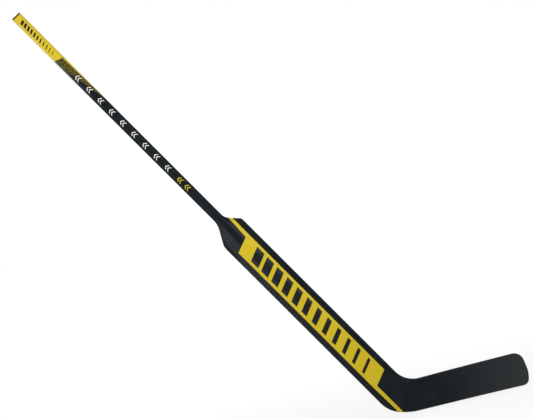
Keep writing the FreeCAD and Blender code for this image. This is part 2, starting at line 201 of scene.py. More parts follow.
def half_depth(off, along):
    """Half the thickness of shaft and paddle: the lower of a flat band and a facet down to each edge.

    The toe-side facet falls to its foot and then runs level. The heel-side facet does so round the
    shoulder, and falls to the edge itself below that. Creases are rounded over a width that differs
    along the stick.
    """
    run = share(along, FACET_TOP, PADDLE_JOINT)
    run = lower_of(run, np.ones_like(run), CENTRE_SOFT)
    centre = SHAFT_HALF_DEPTH + (HEEL_HALF_DEPTH - SHAFT_HALF_DEPTH) * run
    band = band_half(along)
    stops = [TOE_FACET_LOW - CREASE_CHANGE_BELOW, FACET_TOP]
    soft = np.interp(along, stops, [CREASE_SOFT_PADDLE, CREASE_SOFT_SHAFT])
    stops = [PADDLE_JOINT, HEEL_FACET_LOW, FACET_TOP]
    heel_off = np.interp(along, stops, [PADDLE_HALF, PADDLE_HALF, SHAFT_HALF]) + widening(along)
    neck_depth = SHAFT_HALF_DEPTH - SHAFT_CHAMFER
    heel_depth = np.interp(along, stops, [HEEL_HALF_DEPTH, EDGE_HALF_DEPTH, neck_depth])
    toe_off, toe_depth = foot_place(along)
    heel_slope = np.maximum(centre - heel_depth, 0) / (heel_off - band)
    toe_slope = np.maximum(centre - toe_depth, 0) / (toe_off - band)
    heel_facet = centre - heel_slope * (-off - band)
    heel_level = centre - heel_slope * (heel_foot_off(along) + widening(along) - band)
    heel_facet = -lower_of(-heel_facet, -heel_level, heel_slope * soft)
    toe_facet = centre - toe_slope * (off - band)
    toe_facet = -lower_of(-toe_facet, -toe_depth, toe_slope * soft)
    depth = lower_of(centre, heel_facet, heel_slope * soft)
    return np.where(off < 0, depth, lower_of(centre, toe_facet, toe_slope * soft))


def blade_drop(x, drop):
    """How far a face of the blade stands forward at x: a circle, tangent at the blade's joint.

    Its radius is the one that passes through the drop at the toe.
    """
    run = TOE_END - BLADE_JOINT
    radius = (run**2 + drop**2) / (2 * drop)
    gone = np.clip(x - BLADE_JOINT, 0, None)
    return radius - np.sqrt(radius**2 - gone**2)


def face_depth(spots, side):
    """Distance of the front (side -1) or back (side 1) face from the plane y = 0, at x and z places."""
    off, along = stick_place(spots)
    lean = BLADE_CURVE + side * (HEEL_HALF_DEPTH - TOE_HALF_DEPTH)
    return half_depth(off, along) - side * blade_drop(spots[..., 0], lean)


WALK_STEP = 0.2
LEAST_ARC_STEPS = 8


def rounded_walk(corners, step):
    """Walks a row of corners (x, z, radius): straight runs, and at each corner an arc tangent to both.

    Gives the distance walked, the places a step apart, the unit normals on the right of the walk, and
    the distance at the middle of each corner's arc.
    """
    corners = np.array(corners)
    runs = np.diff(corners[:, :2], axis=0)
    heading = np.unwrap(np.arctan2(runs[:, 1], runs[:, 0]))
    turn = np.diff(heading)
    reach = np.r_[0, corners[1:-1, 2] * np.tan(np.abs(turn) / 2), 0]
    ways = np.c_[np.cos(heading), np.sin(heading)]
    places, headings, middles = [], [], []
    for index, way in enumerate(ways):
        start = corners[index, :2] + way * reach[index]
        end = corners[index + 1, :2] - way * reach[index + 1]
        count = max(2, int(np.linalg.norm(end - start) / step))
        places.append(start + (end - start) * np.linspace(0, 1, count)[:, None])
        headings.append(np.full(count, heading[index]))
        if index < len(turn):
            radius = corners[index + 1, 2]
            count = max(LEAST_ARC_STEPS, int(radius * abs(turn[index]) / step)) // 2 * 2 + 1
            angle = heading[index] + turn[index] * np.linspace(0, 1, count)
            left = np.c_[-np.sin(angle), np.cos(angle)]
            places.append(end + np.sign(turn[index]) * radius * (left[0] - left))
            headings.append(angle)
            middles.append(sum(map(len, places)) - count // 2 - 1)
    places = np.concatenate(places)
    headings = np.concatenate(headings)
    walked = np.r_[0, np.cumsum(np.linalg.norm(np.diff(places, axis=0), axis=1))]
    normals = np.c_[np.sin(headings), -np.cos(headings)]
    return walked, places, normals, walked[middles]


# The outline, from the butt down the heel's side, round heel, sole and toe, and up the toe's side
WALK, WALK_SPOTS, WALK_NORMALS, CORNERS_AT = rounded_walk(
    [
        (*on_stick(-BUTT_HALF, BUTT), 0),
        (*on_stick(-SHAFT_HALF, NECK), HEEL_NECK_ROUND),
        (*on_stick(-PADDLE_HALF, HEEL_SHOULDER), HEEL_SHOULDER_ROUND),
        (*(HEEL + ALONG * HEEL_HIGH_RUN), HEEL_HIGH_ROUND),
        (HEEL[0] + HEEL_LOW_RUN, 0, HEEL_LOW_ROUND),
        (TOE_END - TOE_LEAN_LOW, 0, TOE_LOW_ROUND),
        (TOE_END, TOE_BULGE_HIGH, TOE_BULGE_ROUND),
        (*TOE_TOP, TOE_HIGH_ROUND),
        (*CROTCH, CROTCH_ROUND),
        (*on_stick(PADDLE_HALF, PADDLE_LENGTH), TOE_SHOULDER_ROUND),
        (*on_stick(SHAFT_HALF, NECK), TOE_NECK_ROUND),
        (*on_stick(BUTT_HALF, BUTT), 0),
    ],
    WALK_STEP,
)
WALK_OFF, WALK_ALONG = stick_place(WALK_SPOTS)
HEEL_AT = CORNERS_AT[2:4].mean()
TOE_LOW_AT = CORNERS_AT[4]
TOE_HIGH_AT, CROTCH_AT, TOE_SHOULDER_AT, TOE_NECK_AT = CORNERS_AT[6:]


def walk_spot(walked):
    """The outline's places and unit normals at distances along its walk, between the walked points."""
    spots = np.stack([np.interp(walked, WALK, WALK_SPOTS[:, k]) for k in (0, 1)], -1)
    normals = np.stack([np.interp(walked, WALK, WALK_NORMALS[:, k]) for k in (0, 1)], -1)
    return spots, normals / np.linalg.norm(normals, axis=-1, keepdims=True)


def walked_where(measure, wanted, start, end):
    """Distances walked, between start and end, where a measure that only rises or falls is as wanted."""
    inside = (WALK >= start) & (WALK <= end)
    order = np.argsort(measure[inside], kind="stable")
    return np.interp(wanted, measure[inside][order], WALK[inside][order])


def rim_radius(off, along):
    """Rounding of the outer edges at an off and along, evenly between stops on each side.

    From the shaft's own corner it goes to a tight one round the heel-side shoulder and all down the
    toe's side, and to a broader one on the rest of the paddle's heel side and on the blade.
    """
    tight_from = HEEL_FOOT_LOW + RIM_CHANGE_ABOVE
    broad_to = HEEL_FOOT_LOW - RIM_CHANGE_BELOW
    heel_side = np.interp(
        along,
        [0, CROTCH_ALONG, broad_to, tight_from, FACET_TOP],
        [RIM_ROUND, HEEL_RIM_ROUND, RIM_ROUND, TIGHT_RIM_ROUND, SHAFT_CORNER],
    )
    toe_side = np.interp(
        along,
        [CROTCH_ALONG, PADDLE_JOINT, TOE_FACET_LOW, FACET_TOP],
        [RIM_ROUND, TIGHT_RIM_ROUND, TIGHT_RIM_ROUND, SHAFT_CORNER],
    )
    return np.where(off < 0, heel_side, toe_side)


# Where the face's slope at the rounded edge is taken: two probes about this share of the radius
PROBE_SHARE = 0.6
PROBE_STEP = 0.2


def rim_arcs(walked, side, coat, turns):
    """Places on one face's rounded edge, at distances walked and shares of the turn from face to wall.

    In the plane of the outline's normal the edge is an arc tangent to the face and to the upright wall:
    the place moves in from the outline by r (1 - sin a), and its depth is the depth at the arc's start,
    less r cos (face's slope), plus r cos a, where a runs from the face's slope to a right angle.
    """
    spots, normals = walk_spot(walked)
    radius = rim_radius(*stick_place(spots))[..., None]
    near = face_depth(spots - normals * (PROBE_SHARE * radius - PROBE_STEP), side)
    far = face_depth(spots - normals * (PROBE_SHARE * radius + PROBE_STEP), side)
    tilt = np.arctan((far - near) / (2 * PROBE_STEP))[..., None]
    outer = spots + normals * coat
    inner = outer - normals * radius * (1 - np.sin(tilt))
    angle = tilt + (math.pi / 2 - tilt) * np.asarray(turns)
    start = face_depth(inner, side)[..., None] + coat
    depth = start - radius * np.cos(tilt) + radius * np.cos(angle)
    places = outer[..., None, :] - normals[..., None, :] * (radius * (1 - np.sin(angle)))[..., None]
    return places, depth


# Columns of the shell's grid: heel-side facet, middle band, toe-side facet, toe-side border. They crowd
# towards the creases by a share, and the facet's foot stays within its own share of the way to the edge.
COLUMNS = (20, 14, 12, 16)
CROWDING = 0.55
FOOT_SHARE = 0.8
RIM_STEPS = 6
WALL_STEPS = 2

# Rows of the shell's grid, part by part from the seat to the toe. The shoulder's rows end at a distance
# below the heel-side facet's end, and the toe's begin at a distance from the blade's end.
NECK_ROWS = 8
SHOULDER_ROWS = 84
PADDLE_ROWS = 80
HALF_BEND_ROWS = 23
BLADE_ROWS = 44
TOE_ROWS = 28
SHOULDER_ROWS_BELOW = 30.0
TOE_ROWS_FROM = 34.0


def column_shares(low, high, rows_along):
    """Shares of each row's width at the columns, which lie on the creases and closer together there."""
    band = band_half(rows_along)
    foot = np.minimum(foot_place(rows_along)[0], band + FOOT_SHARE * (high - band))
    stops = np.stack([low, -band, band, foot, high], -1)
    stops = (stops - low[:, None]) / (high - low)[:, None]
    parts = []
    for index, count in enumerate(COLUMNS):
        step = np.linspace(0, 1, count + 1)[(1 if index else 0):]
        step = (1 - CROWDING) * step + CROWDING * (0.5 - 0.5 * np.cos(math.pi * step))
        parts.append(stops[:, index, None] * (1 - step) + stops[:, index + 1, None] * step)
    return np.concatenate(parts, 1)


def face_rows(low_walk, high_walk, side, coat, shares=None, toe=False):
    """One face of the shell: each row is a straight line between two places on the rounded edges.

    From the heel joint on, the columns keep the shares of the last row above it. Where the toe closes
    the grid, the rows of the last length lean over to the toe's own curve, by a share that grows to 1 at
    the last row.
    """
    low = rim_arcs(low_walk, side, coat, [0.0])[0][:, 0]
    high = rim_arcs(high_walk, side, coat, [0.0])[0][:, 0]
    if shares is None:
        low_off, low_along = stick_place(low)
        high_off, high_along = stick_place(high)
        shares = column_shares(low_off, high_off, (low_along + high_along) / 2)
        bent = low_along < PADDLE_JOINT
        shares[bent] = shares[~bent][-1]
    spots = low[:, None] + (high - low)[:, None] * shares[..., None]
    if toe:
        toe_walk = TOE_LOW_AT + (TOE_HIGH_AT - TOE_LOW_AT) * shares[-1]
        curve = rim_arcs(toe_walk, side, coat, [0.0])[0][:, 0]
        lean = share(np.arange(len(spots)), len(spots) - 1 - TOE_ROWS, len(spots) - 1)
        spots = spots + (curve - spots[-1]) * lean[:, None, None]
    depth = face_depth(spots, side) + coat
    return np.stack([spots[..., 0], side * depth, spots[..., 1]], -1), shares


def rim_rows(walked, coat):
    """The rounded edge from front face over wall to back face, without its first and last row."""
    turns = np.linspace(0, 1, RIM_STEPS + 1)[1:]
    front, front_depth = rim_arcs(walked, -1, coat, turns)
    back, back_depth = rim_arcs(walked, 1, coat, turns)
    front = np.stack([front[..., 0], -front_depth, front[..., 1]], -1)
    back = np.stack([back[..., 0], back_depth, back[..., 1]], -1)
    step = np.linspace(0, 1, WALL_STEPS + 2)[1:-1, None]
    wall = front[:, -1:] + (back[:, -1:] - front[:, -1:]) * step
    return np.concatenate([front, wall, back[:, ::-1]], 1)


def rings(low_walk, high_walk, coat, toe=False):
    """Closed rings round the stick: front row, toe-side edge, back row the other way, heel-side edge."""
    front, shares = face_rows(low_walk, high_walk, -1, coat, None, toe)
    back, _ = face_rows(low_walk, high_walk, 1, coat, shares, toe)
    high = rim_rows(high_walk, coat)
    low = rim_rows(low_walk, coat)
    return np.concatenate([front, high, back[:, ::-1], low[:, ::-1]], 1), shares


def ring_faces(rows, ring, start=0):
    """Quads between neighbouring rings, each ring closed on itself, facing outwards."""
    row = np.arange(rows - 1)[:, None] * ring + start
    here = np.arange(ring)[None, :]
    after = (here + 1) % ring
    return np.stack([row + here, row + ring + here, row + ring + after, row + after], -1).reshape(-1, 4)


def grid_faces(index):
    """Quads of a grid of vertex numbers."""
    return np.stack([index[:-1, :-1], index[1:, :-1], index[1:, 1:], index[:-1, 1:]], -1).reshape(-1, 4)


SHARP_TURN = math.radians(35)


def new_piece(name, places, faces, material):
    """A mesh object at the origin from places in millimetres, smooth except at sharp turns."""
    mesh = bpy.data.meshes.new(name)
    mesh.from_pydata((places * MM).tolist(), [], faces)
    mesh.validate()
    mesh.shade_smooth()
    mesh.set_sharp_from_angle(angle=SHARP_TURN)
    mesh.materials.append(material)
    piece = bpy.data.objects.new(name, mesh)
    bpy.context.scene.collection.objects.link(piece)
    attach(piece, "root")
    return piece


def heel_walk(along):
    """Distance walked on the heel-side edge at a distance along the axis."""
    return walked_where(WALK_ALONG, along, 0, HEEL_AT)


def toe_walk_at(along):
    """Distance walked on the toe-side edge at a distance along the axis."""
    return walked_where(WALK_ALONG, along, CROTCH_AT, WALK[-1])


def sole_walk(x):
    """Distance walked on the sole at x."""
    return walked_where(WALK_SPOTS[:, 0], x, HEEL_AT, TOE_LOW_AT)


def top_walk(x):
    """Distance walked on the blade's upper edge at x."""
    return walked_where(WALK_SPOTS[:, 0], x, TOE_HIGH_AT, CROTCH_AT)


def shell_rows():
    """Pairs of distances walked, heel side and toe side, at the rows from the shaft's seat to the toe.

    On the paddle both ends of a row have the same distance along the axis, round the bend the rows fan
    from the inner to the outer bend, on the blade both ends have the same x, and the last rows close on
    the toe.
    """
    shoulder_low = HEEL_FACET_LOW - SHOULDER_ROWS_BELOW
    paddle = np.r_[
        np.linspace(SEAT, FACET_TOP, NECK_ROWS),
        np.linspace(FACET_TOP, shoulder_low, SHOULDER_ROWS)[1:],
        np.linspace(shoulder_low, PADDLE_JOINT, PADDLE_ROWS)[1:],
    ]
    blade = np.linspace(BLADE_JOINT, TOE_END - TOE_ROWS_FROM, BLADE_ROWS)[1:]
    half_bend = np.linspace(0, 1, HALF_BEND_ROWS)[1:]
    closing = np.linspace(0, 1, TOE_ROWS + 1)[1:]
    low = [heel_walk(paddle)]
    high = [toe_walk_at(paddle)]
    for low_end, high_end in (HEEL_AT, CROTCH_AT), (sole_walk(BLADE_JOINT), top_walk(BLADE_JOINT)):
        low.append(low[-1][-1] + (low_end - low[-1][-1]) * half_bend)
        high.append(high[-1][-1] + (high_end - high[-1][-1]) * half_bend)
    low.append(sole_walk(blade))
    high.append(top_walk(blade))
    low.append(low[-1][-1] + (TOE_LOW_AT - low[-1][-1]) * closing)
    high.append(high[-1][-1] + (TOE_HIGH_AT - high[-1][-1]) * closing)
    return np.concatenate(low), np.concatenate(high)


def paddle_and_blade(material):
    """The moulded shell of neck, paddle, heel and blade: rings from the seat down, closed at both ends.

    The seat is closed by one face, and the toe by a grid that carries the rounded edge on round it.
    """
    low_walk, high_walk = shell_rows()
    places, shares = rings(low_walk, high_walk, COAT, True)
    rows, ring = places.shape[:2]
    across = shares.shape[1]
    edge = rim_rows(TOE_LOW_AT + (TOE_HIGH_AT - TOE_LOW_AT) * shares[-1, 1:-1], COAT)
    steps = edge.shape[1]
    last = (rows - 1) * ring
    toe = np.empty((steps + 2, across), int)
    toe[0] = last + np.arange(across)
    toe[-1] = last + across + steps + np.arange(across)[::-1]
    toe[1:-1, 0] = last + ring - 1 - np.arange(steps)
    toe[1:-1, -1] = last + across + np.arange(steps)
    toe[1:-1, 1:-1] = rows * ring + np.arange(edge.shape[0] * steps).reshape(-1, steps).T
    faces = ring_faces(rows, ring).tolist() + grid_faces(toe).tolist() + [list(range(ring))]
    return new_piece(
        "paddle_and_blade_shell",
        np.concatenate([places.reshape(-1, 3), edge.reshape(-1, 3)]),
        faces,
        material,
    )


def sleeve(name, low_along, high_along, outer, inner, material):
    """A tube of the shaft's section between rows: outer rings, inner rings facing in, and end rings."""
    low_walk, high_walk = heel_walk(low_along), toe_walk_at(high_along)
    skin, _ = rings(low_walk, high_walk, outer)
    bore, _ = rings(low_walk, high_walk, inner)
    rows, ring = skin.shape[:2]
    count = rows * ring
    faces = np.concatenate([ring_faces(rows, ring), ring_faces(rows, ring, count)[:, ::-1]])
    here = np.arange(ring)
    after = (here + 1) % ring
    top = np.stack([here, after, count + after, count + here], -1)
    low = (rows - 1) * ring
    bottom = np.stack([low + after, low + here, count + low + here, count + low + after], -1)
    places = np.concatenate([skin.reshape(-1, 3), bore.reshape(-1, 3)])
    return new_piece(name, places, np.concatenate([faces, top, bottom]).tolist(), material)


SHAFT_ROWS = 64


def shaft(material):
    """The shaft's tube from the butt down to its seat on the neck."""
    rows = np.linspace(BUTT, SEAT, SHAFT_ROWS)
    return sleeve("shaft_shell", rows, rows, COAT, -SHAFT_WALL + COAT, material)


def slabs(name, films, material):
    """Thin closed films, one to each pair of grids: upper grid, lower grid, and a wall round both."""
    places, faces, count = [], [], 0
    for top, bottom in films:
        rows, columns = top.shape[:2]
        size = rows * columns
        index = np.arange(size).reshape(rows, columns) + count
        border = np.r_[index[:-1, 0], index[-1, :-1], index[:0:-1, -1], index[0, :0:-1]]
        after = np.roll(border, -1)
        wall = np.stack([after, border, border + size, after + size], -1)
        faces += [grid_faces(index), grid_faces(index + size)[:, ::-1], wall]
        places += [top.reshape(-1, 3), bottom.reshape(-1, 3)]
        count += 2 * size
    return new_piece(name, np.concatenate(places), np.concatenate(faces).tolist(), material)


def between(corners, rows, columns):
    """A grid of pairs between four corners: each row and each column divides its two sides evenly."""
    low_left, low_right, high_right, high_left = (np.array(corner, float) for corner in corners)
    up = np.linspace(0, 1, rows)[:, None, None]
    right = np.linspace(0, 1, columns)[None, :, None]
    low = low_left + (low_right - low_left) * right
    high = high_left + (high_right - high_left) * right
    return low + (high - low) * up


def face_film(spots, side, lift):
    """Places on the front or back face, raised by the lift, with the grid turned to face outwards."""
    depth = face_depth(spots, side) + COAT + lift
    film = np.stack([spots[..., 0], side * depth, spots[..., 1]], -1)
    return film[:, ::-1] if side < 0 else film


def paddle_film(corners, side, lifts, rows=2, columns=24):
    """A four-sided film on a face of the paddle, from corners given as off and along."""
    pairs = between(corners, rows, columns)
    spots = on_stick(pairs[..., 0], pairs[..., 1])
    return tuple(face_film(spots, side, lift) for lift in lifts)


STRIPE_TURN = 0.9
STRIPE_TURN_ROWS = 7


def stripe_film(offs, alongs, walked, side, lifts, rows=24):
    """A stripe from a line on the face out to the outline, and over its rounded edge towards the wall.

    On the face each column is straight, from its start to the first place of the edge's arc. Then it
    follows that arc for a share of its turn.
    """
    turns = np.linspace(0, STRIPE_TURN, STRIPE_TURN_ROWS)
    films = []
    for lift in lifts:
        edge, depth = rim_arcs(walked, side, COAT + lift, turns)
        start = on_stick(offs, alongs)
        step = np.linspace(0, 1, rows)[:-1, None, None]
        spots = start + (edge[:, 0] - start) * step
        face = np.concatenate([face_depth(spots, side) + COAT + lift, depth.T])
        spots = np.concatenate([spots, edge.transpose(1, 0, 2)])
        film = np.stack([spots[..., 0], side * face, spots[..., 1]], -1)
        faces_back = (alongs[0] < stick_place(edge[0, 0])[1]) == (offs[-1] > offs[0])
        films.append(film[:, ::-1] if faces_back == (side < 0) else film)
    return tuple(films)


def shaft_profiles(coat):
    """Off and depth round the shaft's section, at the butt and at the seat."""
    rows = np.array([BUTT, SEAT])
    places = rings(heel_walk(rows), toe_walk_at(rows), coat)[0]
    return stick_place(places[..., [0, 2]])[0], places[..., 1]


# Distance round the shaft's section at the butt, counted from the middle of its front
PROFILE_OFF, PROFILE_Y = (profile[0] for profile in shaft_profiles(COAT))
PROFILE_STEPS = np.hypot(
    np.diff(PROFILE_OFF, append=PROFILE_OFF[0]),
    np.diff(PROFILE_Y, append=PROFILE_Y[0]),
)
PROFILE_WALK = np.r_[0, np.cumsum(PROFILE_STEPS)[:-1]]
GIRTH = PROFILE_STEPS.sum()
FRONT_COLUMNS = sum(COLUMNS) + 1
FRONT_MIDDLE = np.interp(0, PROFILE_OFF[:FRONT_COLUMNS], PROFILE_WALK[:FRONT_COLUMNS])
PROFILE_ROUND = (PROFILE_WALK - FRONT_MIDDLE + GIRTH / 2) % GIRTH - GIRTH / 2
PROFILE_ORDER = np.argsort(PROFILE_ROUND)


def shaft_film(pairs, lift):
    """Places on the shaft from pairs of distance round its section and along it, raised by the lift.

    The distance round counts at the butt, and each place lies on the straight line down to the seat.
    """
    around = PROFILE_ROUND[PROFILE_ORDER]
    up = share(pairs[..., 1], SEAT, BUTT)
    off, depth = (
        np.interp(pairs[..., 0], around, at_butt[PROFILE_ORDER]) * up
        + np.interp(pairs[..., 0], around, at_seat[PROFILE_ORDER]) * (1 - up)
        for at_butt, at_seat in shaft_profiles(COAT + lift)
    )
    spots = on_stick(off, pairs[..., 1])
    return np.stack([spots[..., 0], depth, spots[..., 1]], -1)


def shaft_patch(corners, lifts, rows=2, columns=12):
    """A four-sided film on the shaft, from corners given as distance round the section and along."""
    pairs = between(corners, rows, columns)[:, ::-1]
    return tuple(shaft_film(pairs, lift) for lift in lifts)


def slanted_bar(middle, half_width, thickness, slant):
    """The corners of a bar across the stick, which rises by the slant's share of its way across."""
    return [
        (-half_width, middle - slant * half_width - thickness / 2),
        (half_width, middle + slant * half_width - thickness / 2),
        (half_width, middle + slant * half_width + thickness / 2),
        (-half_width, middle - slant * half_width + thickness / 2),
    ]


DOT_SIDES = 6


def dots(name, pairs, radius, lifts, material):
    """Small films of a few sides on the shaft: evenly turned corners at the radius from each middle."""
    turn = np.arange(DOT_SIDES) * 2 * math.pi / DOT_SIDES
    offsets = np.stack([-np.sin(turn), np.cos(turn)], -1)
    corners = pairs[:, None] + offsets * radius
    count = len(pairs) * DOT_SIDES
    upper = np.arange(count).reshape(-1, DOT_SIDES)
    after = np.roll(upper, -1, axis=1)
    wall = np.stack([after, upper, upper + count, after + count], -1).reshape(-1, 4)
    places = np.concatenate([shaft_film(corners, lift).reshape(-1, 3) for lift in lifts])
    faces = upper.tolist() + (upper[:, ::-1] + count).tolist() + wall.tolist()
    return new_piece(name, places, faces, material)


def add_node(tree, kind, inputs=None, **settings):
    """A shader node with its settings, its inputs set to values or joined to other nodes' outputs."""
    made = tree.nodes.new(kind)
    for key, value in settings.items():
        setattr(made, key, value)
    for key, value in (inputs or {}).items():
        if isinstance(value, bpy.types.NodeSocket):
            tree.links.new(value, made.inputs[key])
        else:
            made.inputs[key].default_value = value
    return made


def math_node(tree, operation, first, second):
    """The output of a sum, product or other operation on two numbers."""
    return add_node(tree, "ShaderNodeMath", {0: first, 1: second}, operation=operation).outputs["Value"]


def noise(tree, place, scale, detail):
    """A noise between 0 and 1 over a place, with so many waves to the metre and finer ones added."""
    inputs = {"Vector": place, "Scale": scale, "Detail": detail}
    return add_node(tree, "ShaderNodeTexNoise", inputs).outputs["Fac"]


def spread(tree, value, low, high, to_low, to_high):
    """A number carried from one range to another, held at both ends."""
    return add_node(
        tree,
        "ShaderNodeMapRange",
        {"Value": value, "From Min": low, "From Max": high, "To Min": to_low, "To Max": to_high},
    ).outputs["Result"]


def tone(tree, value, stops):
    """A colour read off a row of stops, each a position and a colour."""
    ramp = add_node(tree, "ShaderNodeValToRGB", {"Fac": value})
    elements = ramp.color_ramp.elements
    while len(elements) < len(stops):
        elements.new(1.0)
    for element, (position, colour) in zip(elements, stops):
        element.position = position
        element.color = (*colour, 1)
    return ramp.outputs["Color"]


# The stick's lean, the scales of the finishes' noises, and the ranges of tone and of the broad noise
LEAN = math.pi / 2 - BEND
CLOUD_SCALE = 28.0
PEEL_SCALE = 520.0
PEEL_HEIGHT = 0.0004
SUM_RANGE = (0.7, 1.3)
CLOUD_RANGE = (0.3, 0.7)


def finish_material(name, dark, light, rough, specular, grain, bump):
    """A printed or painted finish on the stick's own axes.

    The colour runs between two tones by a fine noise and a broad one. The fine one is the grain, given
    as its scale and the share of that scale along the shaft, which draws it out. Roughness follows the
    broad noise between two values, and the bump is a fine orange peel.
    """
    material = bpy.data.materials.new(name)
    material.use_nodes = True
    tree = material.node_tree
    shader = tree.nodes["Principled BSDF"]
    place = add_node(tree, "ShaderNodeTexCoord").outputs["Object"]
    turned = add_node(tree, "ShaderNodeMapping", {"Vector": place, "Rotation": (0, LEAN, 0)})
    turned = turned.outputs["Vector"]
    drawn = add_node(tree, "ShaderNodeMapping", {"Vector": turned, "Scale": (1, 1, grain[1])})
    drawn = drawn.outputs["Vector"]
    streaks = noise(tree, drawn, grain[0], 3.0)
    clouds = noise(tree, turned, CLOUD_SCALE, 3.0)
    peel = noise(tree, turned, PEEL_SCALE, 2.0)
    mixed = math_node(tree, "ADD", streaks, clouds)
    colour = tone(tree, spread(tree, mixed, *SUM_RANGE, 0.0, 1.0), [(0.0, dark), (1.0, light)])
    tree.links.new(colour, shader.inputs["Base Color"])
    roughness = spread(tree, clouds, *CLOUD_RANGE, *rough)
    tree.links.new(roughness, shader.inputs["Roughness"])
    normal = add_node(
        tree,
        "ShaderNodeBump",
        {"Height": peel, "Strength": bump, "Distance": PEEL_HEIGHT},
    ).outputs["Normal"]
    tree.links.new(normal, shader.inputs["Normal"])
    shader.inputs["Specular IOR Level"].default_value = specular
    return material


black = finish_material(
    "black_lacquer",
    dark=(0.0022, 0.0056, 0.0080),
    light=(0.0042, 0.0082, 0.0112),
    rough=(0.17, 0.21),
    specular=0.5,
    grain=(900.0, 0.05),
    bump=0.02,
)
ink = finish_material(
    "dark_print",
    dark=(0.0040, 0.0060, 0.0080),
    light=(0.0070, 0.0090, 0.0110),
    rough=(0.20, 0.24),
    specular=0.5,
    grain=(700.0, 0.1),
    bump=0.02,
)
yellow = finish_material(
    "yellow_print",
    dark=(0.605, 0.455, 0.006),
    light=(0.635, 0.480, 0.011),
    rough=(0.18, 0.22),
    specular=0.5,
    grain=(600.0, 0.1),
    bump=0.01,
)
white = finish_material(
    "white_print",
    dark=(0.70, 0.70, 0.68),
    light=(0.76, 0.76, 0.74),
    rough=(0.20, 0.25),
    specular=0.5,
    grain=(700.0, 0.1),
    bump=0.02,
)
rubber = finish_material(
    "butt_rubber",
    dark=(0.004, 0.005, 0.007),
    light=(0.009, 0.010, 0.013),
    rough=(0.62, 0.78),
    specular=0.2,
    grain=(1400.0, 1.0),
    bump=0.35,
)
foam = finish_material(
    "blade_foam",
    dark=(0.62, 0.57, 0.45),
    light=(0.74, 0.70, 0.58),
    rough=(0.85, 0.95),
    specular=0.3,
    grain=(420.0, 1.0),
    bump=0.6,
)
core = finish_material(
    "dense_core",
    dark=(0.10, 0.085, 0.07),
    light=(0.17, 0.145, 0.12),
    rough=(0.6, 0.75),
    specular=0.3,
    grain=(260.0, 0.04),
    bump=0.3,
)

# The shell, in the place of its laminates and its bound edges
shell = paddle_and_blade(black)
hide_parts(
    "front_laminate",
    "back_laminate",
    "heel_side_shoulder",
    "toe_side_shoulder",
    "heel_side_rail",
    "toe_side_rail",
    "heel_strip",
    "crotch_strip",
    "sole_strip",
    "top_strip",
    "toe_strip",
)
tube = shaft(black)
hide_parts("shaft_tube")

# Yellow film round the top of the shaft
WRAP_ROWS = 30
wrap_low = BUTT - WRAP_LENGTH
wrap_high = BUTT - WRAP_GAP
wrap_rise = SHAFT_HALF * WRAP_SLANT
wrap_rows = np.linspace(0, 1, WRAP_ROWS)
wrap = sleeve(
    "shaft_end_film",
    wrap_high + (wrap_low + wrap_rise - wrap_high) * wrap_rows,
    wrap_high + (wrap_low - wrap_rise - wrap_high) * wrap_rows,
    COAT + FILM_LIFTS[0],
    COAT + FILM_LIFTS[1],
    yellow,
)
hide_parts("shaft_end_wrap")

# Yellow panels of the paddle, each with a stripe out to the shoulder and one down to the heel
PANEL_MIDDLE = (PANEL_TOE - PANEL_HEEL) / 2
PANEL_ROWS = 70
PANEL_COLUMNS = 48
STRIPE_COLUMNS = 10


def panel_low(off):
    """Along of the panel's lower edge at an off: that of its middle, plus slant times the way from it."""
    return PANEL_BOTTOM + PANEL_SLANT * (off - PANEL_MIDDLE)


def panel_high(off):
    """Along of the panel's upper edge at an off, in the same way with its own slant."""
    return PANEL_TOP + PANEL_TOP_SLANT * (off - PANEL_MIDDLE)


def panel(name, side, node):
    """A slanted panel with its two stripes, on the front (side -1) or back (side 1)."""
    corners = [
        (-PANEL_HEEL, panel_low(-PANEL_HEEL)),
        (PANEL_TOE, panel_low(PANEL_TOE)),
        (PANEL_TOE, panel_high(PANEL_TOE)),
        (-PANEL_HEEL, panel_high(-PANEL_HEEL)),
    ]
    across = np.linspace(0, 1, STRIPE_COLUMNS)
    high = PANEL_TOE - (STRIPE_TOP_WIDTH + STRIPE_FLARE) * (1 - across)
    high_end = PANEL_TOE - STRIPE_TOP_WIDTH * (1 - across) + STRIPE_TOP_LEAN
    high_walk = walked_where(WALK_OFF, high_end, TOE_SHOULDER_AT, TOE_NECK_AT)
    low = STRIPE_WIDTH * across - PANEL_HEEL
    low_end = STRIPE_LOW_WIDTH * across - PANEL_HEEL
    low_walk = walked_where(WALK_OFF, low_end, heel_walk(PADDLE_JOINT), sole_walk(0))
    films = [
        paddle_film(corners, side, FILM_LIFTS, PANEL_ROWS, PANEL_COLUMNS),
        stripe_film(high, panel_high(high), high_walk, side, FILM_LIFTS),
        stripe_film(low, panel_low(low), low_walk, side, FILM_LIFTS),
    ]
    piece = slabs(name, films, yellow)
    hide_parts(node)


panel("front_panel_film", -1, "front_panel")
panel("back_panel_film", 1, "back_panel")

# Dark slanted bars on both panels, thinner from the shoulder to the heel
BAR_COUNT = 12
BAR_HALF = 20.0
BAR_MIDDLES = np.linspace(567, 151, BAR_COUNT)
BAR_WIDTHS = np.linspace(28, 9, BAR_COUNT)


def bar_row(middles, half_width, widths):
    """The corners of a row of slanted bars, one at each middle with its own width along the stick."""
    return [slanted_bar(middle, half_width, width, PANEL_SLANT) for middle, width in zip(middles, widths)]


def panel_bars(name, side):
    """The row of bars on the front (side -1) or back (side 1) panel."""
    corners = bar_row(BAR_MIDDLES, BAR_HALF, BAR_WIDTHS)
    slabs(name, [paddle_film(bar, side, INK_LIFTS) for bar in corners], ink)


panel_bars("front_panel_bars", -1)
panel_bars("back_panel_bars", 1)

